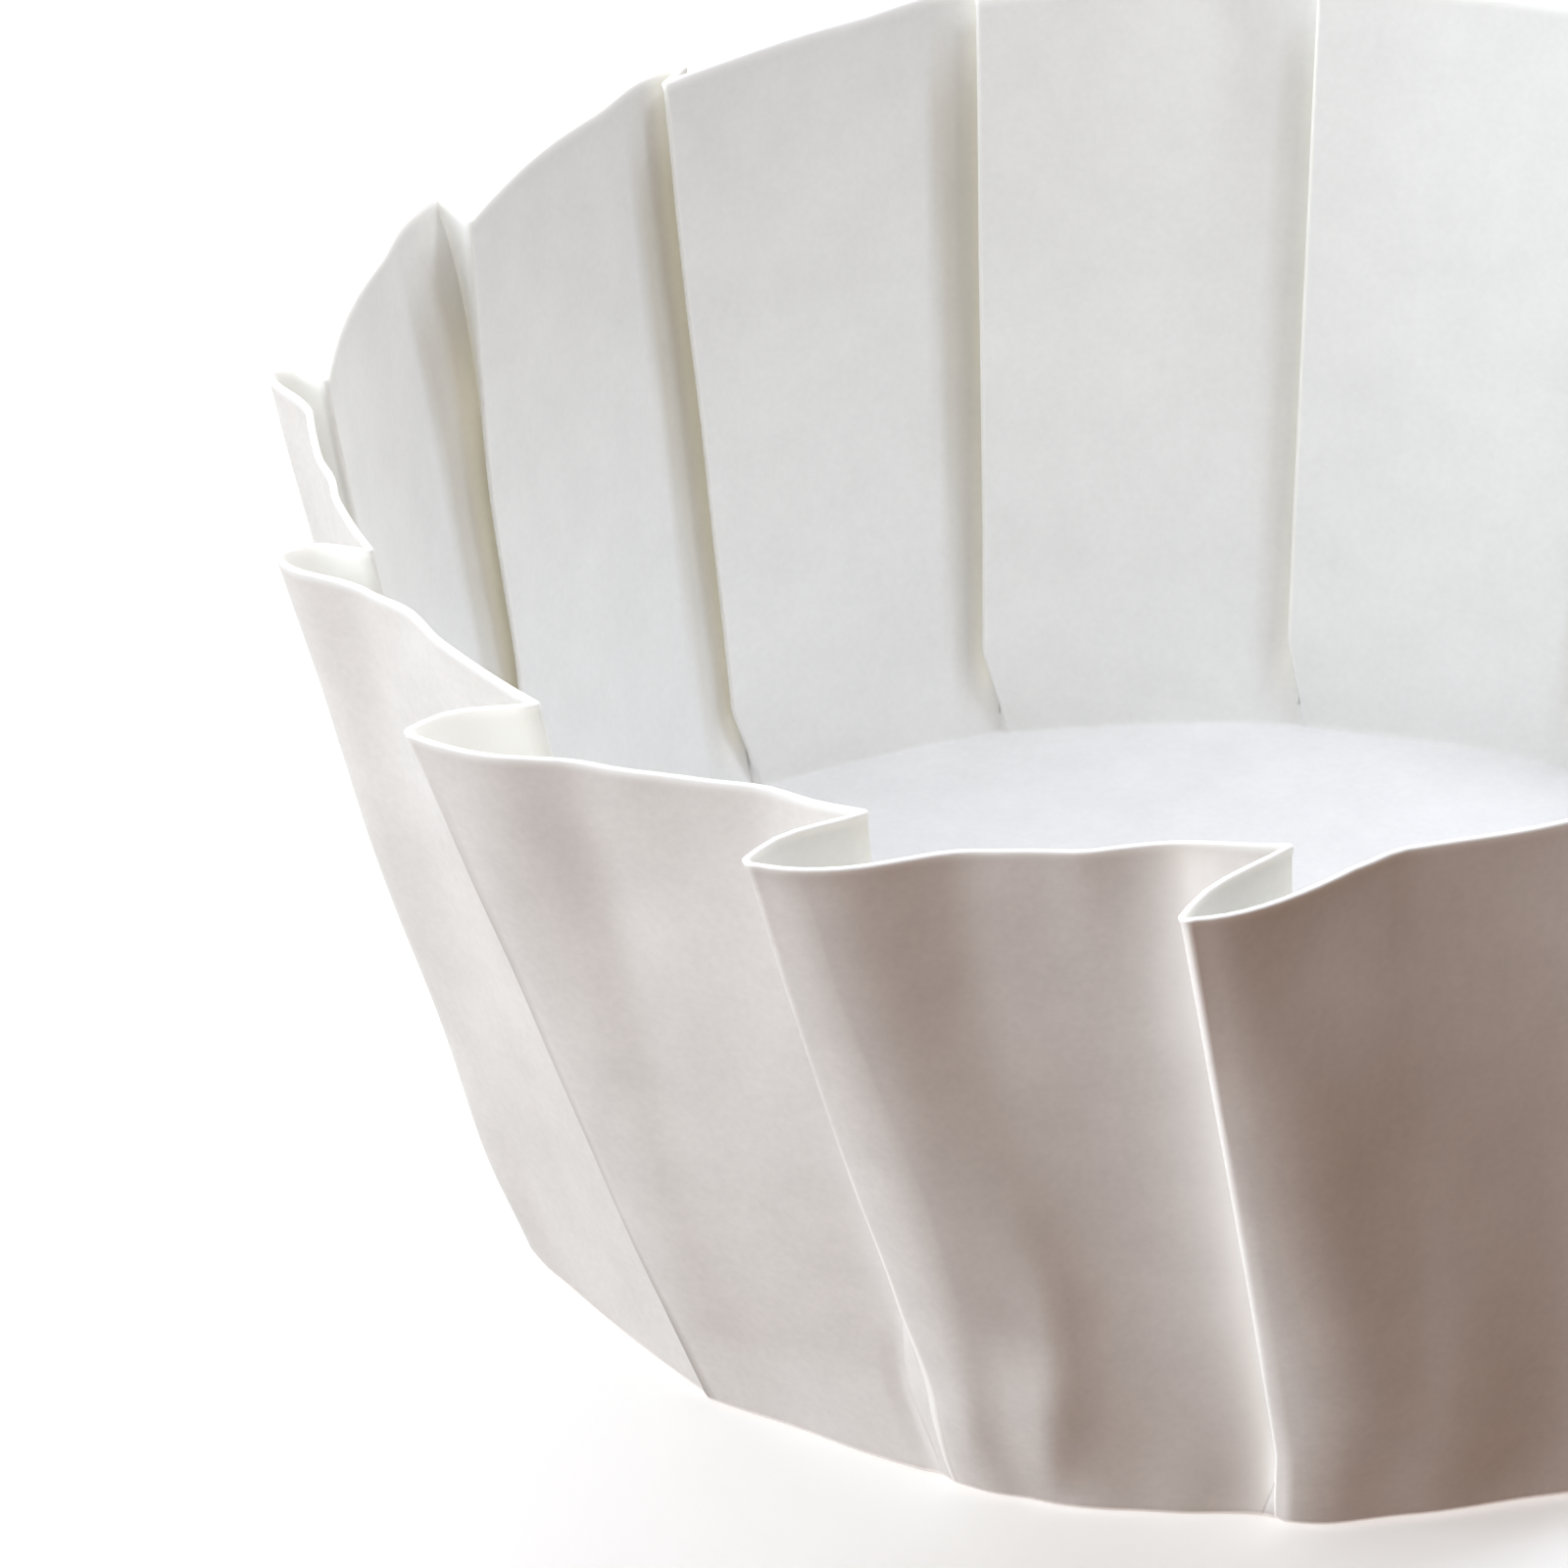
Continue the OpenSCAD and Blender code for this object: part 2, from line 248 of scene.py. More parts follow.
# each pleat's guide points at the rim, at the bottom's edge and at the top of its foot
def rimPleat(k):
    neck = of("shoulder", k + 1)
    neckR = inRadius(k) + of("shoulderRise", k + 1)
    panel = []
    for u in panelAt:
        runIn = (max(u - neck, 0) / (1 - neck)) ** of("runIn", k + 1)
        radius = mix(mix(neckR, inRadius(k), runIn), outRadius(k + 1), shoulderFall(k + 1, u))
        panel.append(polar(mix(outAngle(k + 1), inAngle(k), u), radius))
    return pleatPoints(polar(outAngle(k + 1), outRadius(k + 1)), panel,
                       polar(inAngle(k), inRadius(k)), polar(outAngle(k), outRadius(k)))

def sidePleat(k, fromAngle, toAngle, nextAngle, lean, depth):
    r0 = cornerRadius(k + 1) + lean
    r1 = cornerRadius(k) + lean
    p0 = polar(fromAngle, r0 - depth / 2)
    p1 = polar(toAngle, r1 - depth / 2)
    panel = []
    for u in panelAt:
        curved = polar(mix(fromAngle, toAngle, u), mix(r0, r1, u) - depth / 2)
        p = mixPoint(mixPoint(p0, p1, u), curved, liner["sideBow"])
        panel.append(carry(p, depth * (1 - u)))
    return pleatPoints(polar(fromAngle, r0 + depth / 2), panel, p1, polar(nextAngle, r1 + depth / 2))

def bottomPleat(k):
    half = degreesAlong(liner["creaseWide"] / 2, bottomR)
    return sidePleat(k, cornerAngle(k + 1) + half, cornerAngle(k) - half, cornerAngle(k) + half,
                     0, liner["creaseStep"])

def footPleat(k):
    return sidePleat(k, cornerAngle(k + 1) + of("footOut", k + 1), cornerAngle(k) + of("footIn", k),
                     cornerAngle(k) + of("footOut", k), liner["footLean"], liner["footDepth"])

def flarePleat(k):
    # how far in each guide point comes up the wall, to flare out only at the rim
    near = [of("flare", k + 1) * (1 - ease(u / liner["flareReach"])) for u in panelAt]
    return [of("flare", k + 1)] + near + [0] + [of("flare", k) * f for f in flapAt]

# the outline runs counterclockwise, from the last pleat to the first
turns = range(pleats - 1, -1, -1)
bottomLine = [p for k in turns for p in bottomPleat(k)]
footLine = [p for k in turns for p in footPleat(k)]
rimLine = [p for k in turns for p in rimPleat(k)]
flareLine = [f for k in turns for f in flarePleat(k)]
perPleat = liner["panelPoints"] + liner["flapPoints"] + 2
innerPlace = liner["panelPoints"] + 1

# where each guide point lies: its pleat, and its share of the panel (0 and 1 at the folds, None on a flap)
spots = []
for k in turns:
    spots += [(k, 0)] + [(k, u) for u in panelAt] + [(k, 1)] + [(k, None)] * liner["flapPoints"]


# Dents and soft hollows that handling has left in the panels.
# u runs over a panel from its outer fold to its inner fold, z is the height in mm.

# soft rises and hollows: the middle, how far they reach both ways, and how far out they stand
swells = [
    {"panel": 14, "u": 0.15, "z": 14, "wide": 0.26, "tall": 50, "out": 1.6},
    {"panel": 14, "u": 0.40, "z": 17, "wide": 0.40, "tall": 30, "out": 2.0},
    {"panel": 14, "u": 0.30, "z": 80, "wide": 0.40, "tall": 30, "out": -1.7},
    {"panel": 14, "u": 0.24, "z": 74, "wide": 0.22, "tall": 18, "out": -0.8},
    {"panel": 14, "u": 0.60, "z": 76, "wide": 0.30, "tall": 14, "out": -0.4},
    {"panel": 14, "u": 0.42, "z": 42, "wide": 0.16, "tall": 12, "out": 0.4},
    {"panel": 14, "u": 0.24, "z": 6, "wide": 0.18, "tall": 12, "out": -0.5},
    {"panel": 0, "u": 0.12, "z": 22, "wide": 0.16, "tall": 60, "out": 0.5},
    {"panel": 0, "u": 0.60, "z": 52, "wide": 0.30, "tall": 46, "out": -0.5},
    {"panel": 0, "u": 0.62, "z": 77, "wide": 0.20, "tall": 10, "out": -0.3},
    {"panel": 0, "u": 0.46, "z": 14, "wide": 0.40, "tall": 12, "out": 0.5},
    {"panel": 0, "u": 0.10, "z": 10, "wide": 0.10, "tall": 8, "out": 0.3},
    {"panel": 0, "u": 0.26, "z": 46, "wide": 0.28, "tall": 44, "out": 0.8},
    {"panel": 0, "u": 0.70, "z": 48, "wide": 0.26, "tall": 40, "out": -0.6},
    {"panel": 0, "u": 0.24, "z": 26, "wide": 0.26, "tall": 28, "out": 0.9},
    {"panel": 0, "u": 0.70, "z": 74, "wide": 0.16, "tall": 20, "out": -0.5},
    {"panel": 0, "u": 0.76, "z": 4, "wide": 0.20, "tall": 16, "out": 0.5},
    {"panel": 0, "u": 0.44, "z": 4, "wide": 0.42, "tall": 24, "out": 1.4},
    {"panel": 0, "u": 0.12, "z": 12, "wide": 0.14, "tall": 22, "out": 0.5},
    {"panel": 0, "u": 0.57, "z": 82, "wide": 0.09, "tall": 28, "out": 0.4},
    {"panel": 0, "u": 0.36, "z": 76, "wide": 0.24, "tall": 14, "out": 0.4},
    {"panel": 0, "u": 0.80, "z": 82, "wide": 0.20, "tall": 26, "out": -1.3},
    {"panel": 1, "u": 0.33, "z": 82, "wide": 0.28, "tall": 20, "out": 1.9},
    {"panel": 1, "u": 0.15, "z": 50, "wide": 0.20, "tall": 36, "out": -0.8},
    {"panel": 1, "u": 0.10, "z": 50, "wide": 0.14, "tall": 40, "out": -0.5},
    {"panel": 1, "u": 0.42, "z": 40, "wide": 0.42, "tall": 38, "out": -1.0},
    {"panel": 1, "u": 0.42, "z": 82, "wide": 0.35, "tall": 16, "out": 0.8},
    {"panel": 1, "u": 0.97, "z": 8, "wide": 0.08, "tall": 16, "out": -0.6},
    {"panel": 1, "u": 0.74, "z": 82, "wide": 0.16, "tall": 30, "out": -0.9},
    {"panel": 1, "u": 0.20, "z": 46, "wide": 0.20, "tall": 34, "out": -0.5},
    {"panel": 1, "u": 0.60, "z": 54, "wide": 0.22, "tall": 30, "out": -0.35},
    {"panel": 1, "u": 0.36, "z": 5, "wide": 0.34, "tall": 12, "out": -0.6},
    {"panel": 2, "u": 0.19, "z": 82, "wide": 0.22, "tall": 16, "out": 1.8},
    {"panel": 2, "u": 0.42, "z": 84, "wide": 0.16, "tall": 14, "out": -0.6},
    {"panel": 2, "u": 0.15, "z": 50, "wide": 0.18, "tall": 26, "out": 1.6},
    {"panel": 2, "u": 0.12, "z": 14, "wide": 0.13, "tall": 18, "out": 1.2},
    {"panel": 2, "u": 0.45, "z": 16, "wide": 0.30, "tall": 14, "out": -0.7},
    {"panel": 3, "u": 0.58, "z": 84, "wide": 0.12, "tall": 14, "out": -0.6},
]
# pressed-up tongues: they rise from the outer fold to an edge and drop quickly behind it
tongues = [
    {"panel": 0,
     "edge": [(80, 0.30), (52, 0.31), (44, 0.33), (36, 0.37),
              (28, 0.41), (21, 0.415), (15, 0.39), (3, 0.33)],
     "high": [(70, 0), (44, 0.7), (36, 1.3), (28, 1.9), (15, 2.0), (8, 1.2), (1, 0.2)],
     "climb": 0.6, "fade": 0.09, "soft": 0.02},
]

# folds that stray aside: middle and reach in height, and how far the outer and the inner fold go,
# to the right seen from outside
strays = [
    {"fold": 1, "z": 24, "tall": 26, "along": 1.0, "inner": 0},
    {"fold": 1, "z": 14, "tall": 12, "along": 0.9, "inner": -0.8},
    {"fold": 5, "z": 54, "tall": 24, "along": 1.7, "inner": 1.7},
    {"fold": 6, "z": 84, "tall": 80, "along": 1.8, "inner": 1.8},
    {"fold": 7, "z": 84, "tall": 70, "along": 0.4, "inner": 0.4},
]
# how far along a panel a stray fold carries the paper, from either end
carried = {"fromOuter": 0.25, "fromInner": 0.2}

def strayAt(k, u, z):
    # the folds at both ends of panel k carry its ends along
    total = 0
    for stray in strays:
        reach = bump(z, stray["z"], stray["tall"])
        if stray["fold"] == k:
            total += stray["inner"] * rise(u, 1 - carried["fromInner"], carried["fromInner"]) * reach
        elif stray["fold"] == (k + 1) % pleats:
            total += stray["along"] * (1 - ease(u / carried["fromOuter"])) * reach
    return total

def alongPath(path, z):
    for (z0, u0), (z1, u1) in zip(path, path[1:]):
        if z1 <= z <= z0:
            return mix(u1, u0, (z - z1) / (z0 - z1))
    return path[0][1] if z > path[0][0] else path[-1][1]

def tongueAt(tongue, u, z):
    edge = alongPath(tongue["edge"], z)
    shifts = (-1, -0.5, 0, 0.5, 1)
    total = 0
    for shift in shifts:
        x = u + shift * tongue["soft"]
        if x < edge:
            total += ease(x / edge * tongue["climb"]) / ease(tongue["climb"])
        else:
            total += exp(-(x - edge) / tongue["fade"])
    ending = rise(u, 1 - carried["fromInner"], carried["fromInner"])
    return alongPath(tongue["high"], z) * total / len(shifts) * (1 - ending)

def handledAt(k, u, z):
    total = 0
    for swell in swells:
        if swell["panel"] == k:
            share = bump(u, swell["u"], swell["wide"]) * bump(z, swell["z"], swell["tall"])
            total += swell["out"] * share
    for tongue in tongues:
        if tongue["panel"] == k:
            total += tongueAt(tongue, u, z)
    return total


# The sheet's middle line at each height

def guide(z):
    # the line as it was pressed, one point per spot
    if z <= liner["footH"]:
        t = z / liner["footH"]
        return [mixPoint(a, b, t) for a, b in zip(bottomLine, footLine)]
    t = (z - liner["footH"]) / (wallH - liner["footH"])
    back = t - t ** liner["flarePower"]
    return [carry(mixPoint(a, b, t), -flare * back) for a, b, flare in zip(footLine, rimLine, flareLine)]

def shaped(z):
    # the guide with everything that handling has done to the panels
    t = max(z - liner["footH"], 0) / (wallH - liner["footH"])
    points = []
    for p, (k, u) in zip(guide(z), spots):
        if u:
            bow = of("panelBow", k) * 4 * t * (1 - t) * sin(pi * u ** liner["bowLean"])
            p = carry(p, bow + handledAt(k, u, z))
        waver = noise.noise(Vector((p[0], p[1], z)) / liner["waverLong"])
        p = carry(p, liner["waver"] * waver * ease(z / liner["waverUp"]))
        turn = strayAt(k, u, z) / hypot(*p) if u is not None else 0
        points.append((p[0] * cos(turn) - p[1] * sin(turn), p[0] * sin(turn) + p[1] * cos(turn)))
    bowFlaps(points, z)
    return points

def bowFlaps(points, z):
    # lays each flap's points between its folds, bowed towards the rim
    up = rise(z, liner["flapBowFrom"], wallH - liner["flapBowFrom"])
    for block, k in enumerate(turns):
        first = block * perPleat + innerPlace
        inner, outer = points[first], points[(first + liner["flapPoints"] + 1) % len(points)]
        e, _ = unitTo(inner, outer)
        for n, f in enumerate(flapAt):
            bow = of("flapBow", k) * up * sin(pi * f ** liner["flapBowLean"])
            x, y = mixPoint(inner, outer, f)
            points[first + 1 + n] = (x + e[1] * bow, y - e[0] * bow)

def unitTo(a, b):
    length = hypot(b[0] - a[0], b[1] - a[1])
    return ((b[0] - a[0]) / length, (b[1] - a[1]) / length), length

def fold(a, v, b, cut, count, reach):
    # an arc between the two sides, never tighter than the sheet lets it be;
    # with reach 1 it goes as far out as the corner did
    for share in (reach, 0):
        e, before = unitTo(v, a)
        f, after = unitTo(v, b)
        half = acos(max(-1, min(1, e[0] * f[0] + e[1] * f[1]))) / 2
        tightest = liner["foldRoom"] * liner["sheet"] / tan(half)
        d = min(max(cut, tightest), liner["foldMost"] * before, liner["foldMost"] * after)
        towards, _ = unitTo((e[0] + f[0], e[1] + f[1]), (0, 0))
        lost = d / cos(half) - d * tan(half)
        v = (v[0] + towards[0] * lost * share, v[1] + towards[1] * lost * share)
    r = d * tan(half)
    across, _ = unitTo(f, e)
    points = []
    for i in range(count):
        s = (pi / 2 - half) * (1 - 2 * i / (count - 1))
        way = [towards[n] * cos(s) + across[n] * sin(s) for n in (0, 1)]
        points.append(tuple(v[n] - towards[n] * d / cos(half) + r * way[n] for n in (0, 1)))
    return points

def shadeAt(k, u, z):
    # how deep in the pleat's painted shaded strip the inside of panel k lies
    end = mix(liner["pocketFoot"], of("pocketEnd", k + 1), (z / wallH) ** liner["pocketWiden"])
    strip = 1 - rise(u, end - liner["pocketSoft"], 2 * liner["pocketSoft"])
    fade = 1 - liner["pocketFade"] * rise(z, liner["pocketFadeFrom"], liner["pocketFadeOver"])
    fade *= mix(liner["pocketLow"], 1, ease(z / liner["pocketLowUpTo"]))
    return of("pocketShade", k + 1) * strip * fade * rise(z, liner["pocketFrom"], liner["pocketOver"])

def deepAt(k, u, z):
    # how much painted light glows beside the inner fold that covers the strip
    start = mix(liner["deepFoot"], liner["deepRim"], z / wallH)
    share = max(0, min(1, 1 - (u - start) / liner["deepWide"]))
    up = rise(z, liner["deepTopFrom"], liner["deepTopOver"])
    most = mix(of("deepFold", k + 1), of("deepTop", k + 1), up)
    return most * share * rise(z, liner["pocketFrom"], liner["pocketOver"])

def wornHighlightAt(k, z):
    return of("wornHighlightFold", k) * ease((of("wornHighlightUpTo", k) - z) / liner["wornHighlightFade"])

def wornHighlightPastAt(k, u, z):
    # the wear and painted highlight beside outer fold k + 1, on the panel that starts there
    near = max(1 - u / liner["wornHighlightPast"], 0)
    most = mix(liner["wornHighlightPastFoot"], liner["wornHighlightPastTop"], ease(z / liner["wornHighlightFoot"]))
    return wornHighlightAt(k + 1, z) * near * most

def foldLightAt(k, p, fold, z):
    # the painted light on panel k, beside the worn fold that lies over its end
    apart = abs(atan2(fold[1], fold[0]) - atan2(p[1], p[0])) * hypot(*p)
    return wornHighlightAt(k, z) * max(1 - apart / liner["foldLightWide"], 0) ** 2

def rounded(line, z):
    # the outline with its folds rounded, and each point's marks, which the paper's colours and its painted
    # light and shade follow
    loop = rise(z, wallH - liner["loopDown"], liner["loopDown"])
    lit = rise(z, liner["litFrom"], liner["litOver"])
    points, marks = [], []
    for i, p in enumerate(line):
        place = i % perPleat
        a, b = line[i - 1], line[(i + 1) % len(line)]
        k, u = spots[i]
        if place == 0:
            cut = mix(of("outerFold", k + 1), of("rimLoop", k + 1), loop)
            points += fold(a, p, b, cut, liner["outerPoints"], mix(of("foldReach", k + 1), 1, loop))
            dark = of("seamShadowFold", k + 1) * (1 - loop)
            for worn, seam in zip(liner["wornHighlightAcross"], liner["seamShadowAcross"]):
                marks.append({"worn": wornHighlightAt(k + 1, z) * worn, "seam": dark * seam,
                              "lit": of("flapLit", k + 1) * lit * seam,
                              "pocket": shadeAt(k, 0, z), "deep": deepAt(k, 0, z)})
        elif place == innerPlace:
            points += fold(a, p, b, liner["innerFold"], liner["innerPoints"], 0)
            crest = of("crestFold", k) * rise(z, liner["crestFrom"], liner["crestOver"])
            foot = of("footShadow", k) * rise(z, liner["footShadowFrom"], liner["footShadowIn"])
            foot *= ease((liner["footShadowUp"] - z) / liner["footShadowOut"])
            marks += [{"crest": crest, "seam": foot}] * liner["innerPoints"]
        else:
            points.append(p)
            if u is None:
                marks.append({"seam": of("seamShadowFold", k) * (1 - loop), "lit": of("flapLit", k) * lit})
            else:
                over = line[(i - place + innerPlace + liner["flapPoints"] + 1) % len(line)]
                past = max(0, 1 - u / liner["seamShadowPast"]) * of("seamShadowFold", k + 1) * (1 - loop)
                marks.append({"pocket": shadeAt(k, u, z), "deep": deepAt(k, u, z),
                              "haze": foldLightAt(k, p, over, z), "seam": past, "worn": wornHighlightPastAt(k, u, z)})
    return points, marks

def mitres(line):
    # the way out at each point, long enough to keep the sheet's thickness at corners
    out = []
    for i, p in enumerate(line):
        e, _ = unitTo(line[i - 1], p)
        f, _ = unitTo(p, line[(i + 1) % len(line)])
        n = (e[1] + f[1], -e[0] - f[0])
        length = hypot(*n)
        n = (n[0] / length, n[1] / length)
        stretch = max(n[0] * e[1] - n[1] * e[0], 0.5)
        out.append((n[0] / stretch, n[1] / stretch))
    return out


# The sheet's two sides, ring by ring, and its mesh

def wallHeights():
    low = liner["sheet"] / 2 + liner["bottomCrease"]
    top = wallH - liner["burrDown"]
    heights = []
    for i in range(liner["wallRings"] + 1):
        t = i / liner["wallRings"]
        heights.append(mix(low, top, t ** liner["ringCrowd"]))
    return heights + [wallH - liner["burrDown"] * share for share in liner["burrRings"]]

def edgeAt(z):
    # 0 on the plain wall, 1 at the cut edge
    return rise(z, wallH - liner["burrDown"], liner["burrDown"] / liner["burrSharp"])

def sheetRows():
    # one row of points per ring: outside and inside, from the bottom's middle up to the cut edge
    half = liner["sheet"] / 2
    crease = liner["bottomCrease"]
    outside, inside, marks = [], [], []
    rings = []
    # the bottom, the crease round it, and the wall
    for scale in liner["bottomRings"]:
        rings.append({"mid": half, "inset": crease, "tilt": 0, "scale": scale})
    for tilt in liner["creaseTilts"]:
        rings.append({"mid": half + crease * (1 - cos(radians(tilt))),
                      "inset": crease * (1 - sin(radians(tilt))), "tilt": tilt, "scale": 1})
    for z in wallHeights():
        rings.append({"mid": z, "inset": 0, "tilt": 90, "scale": 1})
    for ring in rings:
        line, rowMarks = rounded(shaped(ring["mid"]) if ring["scale"] == 1 else guide(0), ring["mid"])
        ways = mitres(line)
        thick = half * (1 + liner["burr"] * edgeAt(ring["mid"]))
        up = thick * cos(radians(ring["tilt"]))
        side = thick * sin(radians(ring["tilt"]))
        s = ring["scale"]
        outRow, inRow = [], []
        for p, n in zip(line, ways):
            x = (p[0] - n[0] * ring["inset"]) * s
            y = (p[1] - n[1] * ring["inset"]) * s
            outRow.append((x + n[0] * side, y + n[1] * side, ring["mid"] - up))
            inRow.append((x - n[0] * side, y - n[1] * side, ring["mid"] + up))
        outside.append(outRow)
        inside.append(inRow)
        # the cut edge is painted as a highlight, and below hemUp the crease glows with painted light
        ringMarks = {"cutEdge": edgeAt(ring["mid"]), "hem": 1 if ring["mid"] < liner["hemUp"] else 0,
                     "height": ring["mid"] / wallH}
        marks.append([m | ringMarks for m in rowMarks])
    # the cut edge, rounded over
    line, rowMarks = rounded(shaped(wallH), wallH)
    ways = mitres(line)
    thick = half * (1 + liner["burr"])
    for share, drop in liner["edgeRings"]:
        z = wallH - liner["rimRound"] * drop
        side = thick * share
        outside.append([(p[0] + n[0] * side, p[1] + n[1] * side, z) for p, n in zip(line, ways)])
        inside.append([(p[0] - n[0] * side, p[1] - n[1] * side, z) for p, n in zip(line, ways)])
        marks.append([m | {"cutEdge": 1, "height": 1} for m in rowMarks])
    return outside, inside, marks

def writeMark(mesh, name, values):
    mesh.attributes.new(name, "FLOAT", "POINT").data.foreach_set("value", values)

def buildSheet(name):
    outside, inside, marks = sheetRows()
    rows = outside + inside[::-1]
    across = len(marks[0])
    points = [p for row in rows for p in row]
    under, over = len(points), len(points) + 1
    points += [(0, 0, 0), (0, 0, liner["sheet"])]
    faces = []
    for r in range(len(rows) - 1):
        here, above = r * across, (r + 1) * across
        for i in range(across):
            j = (i + 1) % across
            faces.append((here + i, here + j, above + j, above + i))
    last = (len(rows) - 1) * across
    for i in range(across):
        j = (i + 1) % across
        faces.append((under, j, i))
        faces.append((over, last + i, last + j))
    mesh = bpy.data.meshes.new(name)
    mesh.from_pydata([Vector(p) * mm for p in points], [], faces)
    mesh.update()
    mesh.shade_smooth()
    writeMark(mesh, "innerSide", [0] * (len(outside) * across) + [1] * (len(inside) * across) + [0, 1])
    marks = [m for row in marks + marks[::-1] for m in row] + [{}, {}]
    for key in ("worn", "haze", "crest", "pocket", "deep", "lit", "seam", "cutEdge", "hem", "height"):
        writeMark(mesh, key, [m.get(key, 0) for m in marks])
    return bpy.data.objects.new(name, mesh)

sheet = buildSheet("linerSheet")
bpy.context.scene.collection.objects.link(sheet)
print("liner sheet:", len(sheet.data.polygons), "faces")


# Shader sums: a wrapped socket that adds a Math node for each sign it is used with

class Signal:
    def __init__(self, tree, socket):
        self.tree = tree
        self.socket = socket

    def math(self, operation, *values):
        settings = {"operation": operation}
        return addNode(self.tree, "ShaderNodeMath", settings, dict(enumerate(values)))

    def __add__(self, other):
        return self.math("ADD", self, other)

    def __radd__(self, other):
        return self.math("ADD", other, self)

    def __sub__(self, other):
        return self.math("SUBTRACT", self, other)

    def __rsub__(self, other):
        return self.math("SUBTRACT", other, self)

    def __mul__(self, other):
        return self.math("MULTIPLY", self, other)

    def __rmul__(self, other):
        return self.math("MULTIPLY", other, self)


def addNode(tree, kind, settings, inputs, output=0):
    node = tree.nodes.new(kind)
    for name, value in settings.items():
        setattr(node, name, value)
    for name, value in inputs.items():
        if isinstance(value, Signal):
            tree.links.new(value.socket, node.inputs[name])
        else:
            node.inputs[name].default_value = value
    return Signal(tree, node.outputs[output]) if node.outputs else None

def mixColour(tree, share, a, b, how="MIX"):
    return addNode(tree, "ShaderNodeMix", {"data_type": "RGBA", "blend_type": how},
                   {0: share, 6: a, 7: b}, 2)

def attribute(tree, name):
    return addNode(tree, "ShaderNodeAttribute", {"attribute_name": name}, {}, "Fac")

def cloud(tree, long, detail):
    # soft noise whose blotches are about so many millimetres across
    where = addNode(tree, "ShaderNodeTexCoord", {}, {}, "Object")
    return addNode(tree, "ShaderNodeTexNoise", {},
                   {"Vector": where, "Scale": 1 / (long * mm), "Detail": detail,
                    "Roughness": paper["cloudRough"]})


paper = {
    # the inside is painted a little darker towards the rim, as painted shade
    "inside": (0.85, 0.85, 0.85, 1), "insideTop": (0.83, 0.83, 0.825, 1),
    # the outside is darker and warmer than the inside: a slight warm tone of its own, and painted shade
    # for the rest
    "outside": (0.78, 0.755, 0.74, 1),
    "pocket": (0.63, 0.60, 0.535, 1),   # painted shade deep in the pleats, warmer and darker, partly the paper lying double
    # painted shadow in the seams beside the folds
    "seam": (0.40, 0.36, 0.33, 1),
    # painted highlights: the worn folds (partly real wear), the cut edge and the inner folds' crests
    "worn": (0.95, 0.94, 0.93, 1), "cutEdge": (0.94, 0.94, 0.93, 1), "crest": (0.96, 0.94, 0.89, 1),
    # painted light: glows that stand in for light the thin paper lets through or passes on
    "wornGlow": (0.12, 0.115, 0.11, 1), "hazeGlow": (0.14, 0.135, 0.125, 1),
    "crestGlow": (0.03, 0.028, 0.02, 1), "deepGlow": (0.19, 0.175, 0.125, 1),
    "litGlow": (0.36, 0.36, 0.335, 1), "hemGlow": (0.40, 0.38, 0.37, 1),
    "roughness": 0.62,
    "blotchLong": 8, "blotch": 0.06,      # cloudy tone: how many mm long, and how strong
    "speckLong": 0.8, "speck": 0.038,     # fine specks
    "moreOutside": 0.7,                   # how much stronger both are on the outside
    "grainLong": 0.6, "grain": 0.008,     # fibre grain: mm long, and its relief
    "cloudRough": 0.55,                   # how strong the finer parts of all three are
}

def paperMaterial():
    material = bpy.data.materials.new("linerPaper")
    material.use_nodes = True
    tree = material.node_tree
    tree.nodes.clear()
    inner = attribute(tree, "innerSide")
    outer = 1 - inner
    everywhere = 1
    blotches = cloud(tree, paper["blotchLong"], 4)
    specks = cloud(tree, paper["speckLong"], 2)

    # the inside painted darker towards the rim: painted shade
    lining = mixColour(tree, attribute(tree, "height"), paper["inside"], paper["insideTop"])
    colour = mixColour(tree, inner, paper["outside"], lining)
    # painted shade in the pleats' pockets, partly the paper lying double
    colour = mixColour(tree, attribute(tree, "pocket") * inner, colour, paper["pocket"])
    uneven = (blotches - 0.5) * (2 * paper["blotch"]) + (specks - 0.5) * (2 * paper["speck"])
    tone = 1 + uneven * (1 + outer * paper["moreOutside"])
    colour = mixColour(tree, 1.0, colour, tone, "MULTIPLY")
    glow = (0, 0, 0, 1)
    # each mark tints the paper, glows with painted light, or both; the painted light beside a worn fold
    # has the worn fold's tint
    for key, side in (("seam", outer), ("haze", outer), ("worn", outer), ("crest", inner),
                      ("cutEdge", everywhere), ("deep", inner), ("lit", inner), ("hem", outer)):
        share = attribute(tree, key) * side
        tint = paper.get("worn" if key == "haze" else key)
        if tint:
            colour = mixColour(tree, share, colour, tint)
        if key + "Glow" in paper:
            strength = share * share if key == "haze" else share
            glow = mixColour(tree, strength, glow, paper[key + "Glow"])

    grain = cloud(tree, paper["grainLong"], 1)
    relief = addNode(tree, "ShaderNodeBump", {}, {"Height": grain * paper["grain"], "Distance": mm})
    shader = addNode(tree, "ShaderNodeBsdfPrincipled", {},
                     {"Base Color": colour, "Roughness": paper["roughness"], "Normal": relief,
                      "Emission Color": glow, "Emission Strength": 1.0})
    addNode(tree, "ShaderNodeOutputMaterial", {}, {"Surface": shader})
    return material

sheet.data.materials.append(paperMaterial())
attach(sheet, "root")
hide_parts("paper_liner")
print("paper laid on")


# Floor and light

studio = {
    "floorAcross": 6000, "floorColour": (0.9, 0.9, 0.9, 1), "floorRough": 0.9, "floorGlow": 0.25,
    "far": 1400, "aimHeight": 40,   # how far off the soft panels stand, and the height they face
}

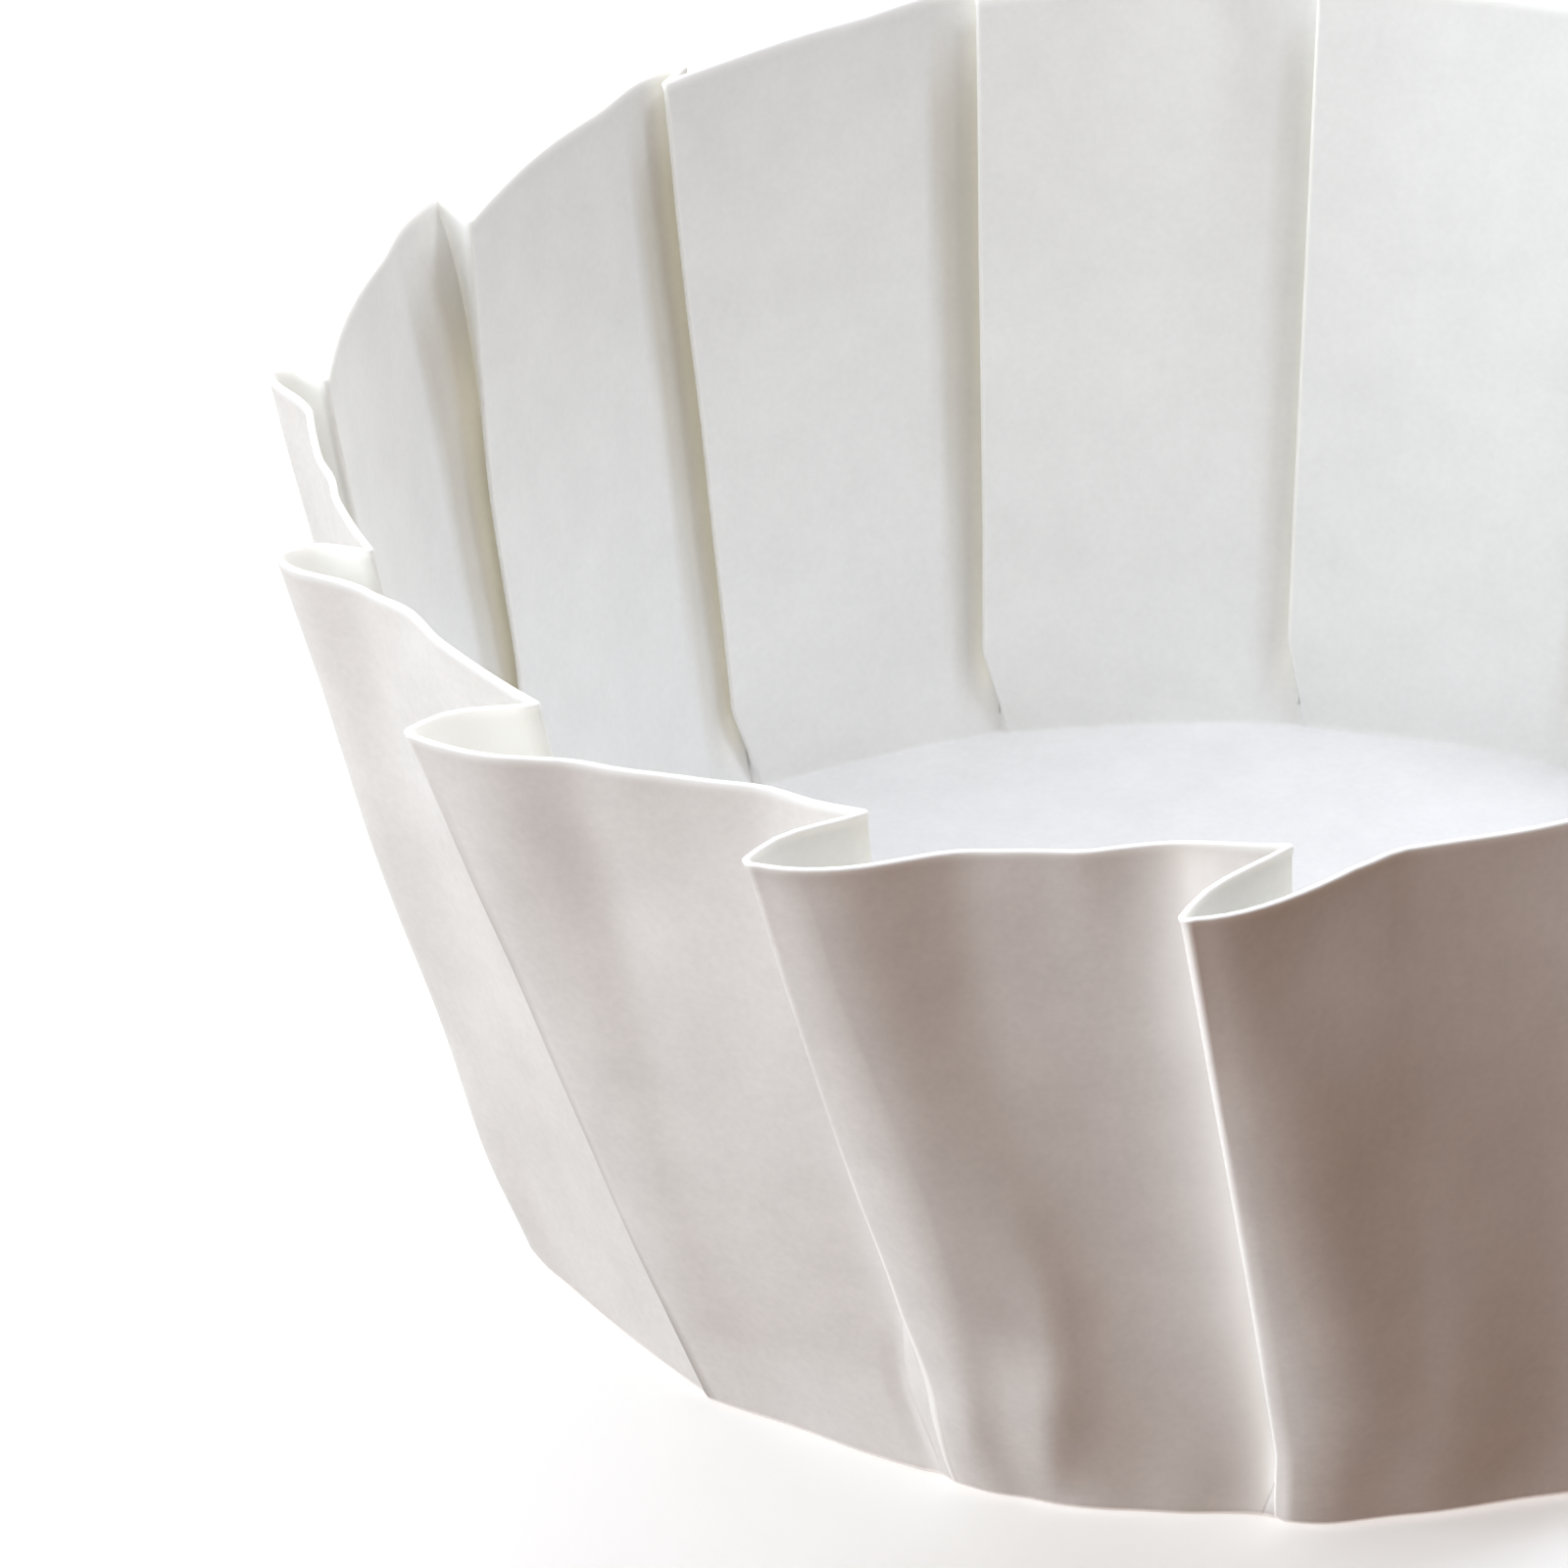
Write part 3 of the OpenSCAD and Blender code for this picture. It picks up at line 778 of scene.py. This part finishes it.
def buildFloor():
    half = studio["floorAcross"] / 2 * mm
    corners = [(-half, -half, 0), (half, -half, 0), (half, half, 0), (-half, half, 0)]
    mesh = bpy.data.meshes.new("floor")
    mesh.from_pydata(corners, [], [(0, 1, 2, 3)])
    floor = bpy.data.objects.new("floor", mesh)
    material = bpy.data.materials.new("floorPaint")
    material.use_nodes = True
    shader = material.node_tree.nodes["Principled BSDF"]
    shader.inputs["Base Color"].default_value = studio["floorColour"]
    shader.inputs["Roughness"].default_value = studio["floorRough"]
    shader.inputs["Emission Color"].default_value = (1, 1, 1, 1)
    shader.inputs["Emission Strength"].default_value = studio["floorGlow"]
    mesh.materials.append(material)
    floor.visible_diffuse = False
    bpy.context.scene.collection.objects.link(floor)
    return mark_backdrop(floor)

buildFloor()

# soft panels round the liner: where they stand and how high, in degrees, seen from the liner
lights = [
    {"name": "leftLow", "turn": -160, "rise": 8, "across": 900, "power": (10.6, 12.3, 12.9)},
    {"name": "leftFrontLow", "turn": -135, "rise": 8, "across": 900, "power": (3.5, 3.1, 3.3)},
    {"name": "leftFront", "turn": -135, "rise": 35, "across": 900, "power": (5.5, 6.4, 6.7)},
    {"name": "leftBackHigh", "turn": 135, "rise": 62, "across": 900, "power": (6.5, 6.9, 8.0)},
    {"name": "back", "turn": 90, "rise": 35, "across": 900, "power": (15.2, 15.9, 13.9)},
    {"name": "rightLow", "turn": 15, "rise": 38, "across": 350, "power": (1.5, 1.8, 2.0)},
    {"name": "rightHigh", "turn": 15, "rise": 66, "across": 350, "power": (5.9, 6.5, 7.2)},
]

def buildLight(spec):
    strongest = max(spec["power"])
    data = bpy.data.lights.new(spec["name"], "AREA")
    data.shape = "SQUARE"
    data.size = spec["across"] * mm
    data.energy = strongest
    data.color = [p / strongest for p in spec["power"]]
    light = bpy.data.objects.new(spec["name"], data)
    across, up = polar(spec["rise"], 1)
    x, y = polar(spec["turn"], across)
    way = Vector((x, y, up))
    light.location = (way * studio["far"] + Vector((0, 0, studio["aimHeight"]))) * mm
    light.rotation_euler = (-way).to_track_quat("-Z", "Y").to_euler()
    bpy.context.scene.collection.objects.link(light)

for spec in lights:
    buildLight(spec)

# the room's own dim, warm light
room = {"colour": (1, 0.59, 0.374, 1), "strength": 0.206}
world = bpy.data.worlds.new("studio")
world.use_nodes = True
world.node_tree.nodes["Background"].inputs["Color"].default_value = room["colour"]
world.node_tree.nodes["Background"].inputs["Strength"].default_value = room["strength"]
bpy.context.scene.world = world
bpy.context.scene.view_settings.view_transform = "Standard"
print("studio lit")
